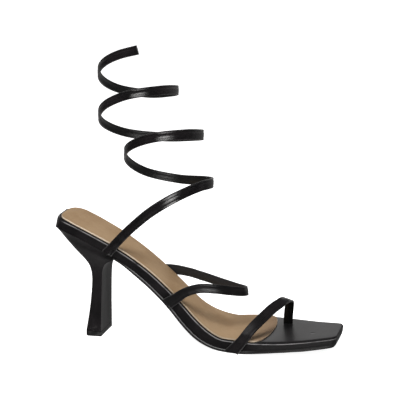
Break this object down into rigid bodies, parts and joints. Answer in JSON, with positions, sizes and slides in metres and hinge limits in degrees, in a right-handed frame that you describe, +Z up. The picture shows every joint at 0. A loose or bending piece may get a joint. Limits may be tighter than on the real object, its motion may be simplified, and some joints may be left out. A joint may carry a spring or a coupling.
{
  "type": "high heel sandal",
  "caption": "Right high heel sandal with a square toe, a toe thong, a slack instep strap and a spiral ankle strap on a slim flared heel.",
  "frame": {"origin": "middle of the bounding box, on the floor plane that the heel tip and the ball of the sole stand on", "axes": "+X towards the toe, +Y towards the inner (medial) side of the right foot, +Z up"},
  "size_m": [0.2218, 0.0794, 0.2295],
  "materials": {
    "footbed_wrap": "smooth black leather wrapped over the board, satin",
    "sock_leather": "matte tan lining leather",
    "outsole_rubber": "thin black outsole with a lit edge",
    "heel_cover": "smooth black leather glued over the heel, satin",
    "tip_rubber": "hard black top piece",
    "strap_leather": "smooth black folded leather, satin, with soft highlights"
  },
  "bodies": {
    "root": {"board": "footbed_wrap", "sock": "sock_leather", "outsole": "outsole_rubber", "heel": "heel_cover", "heel_tip": "tip_rubber", "thong_strap": "strap_leather", "instep_strap": "strap_leather", "spiral_strap": "strap_leather"}
  },
  "joints": []
}
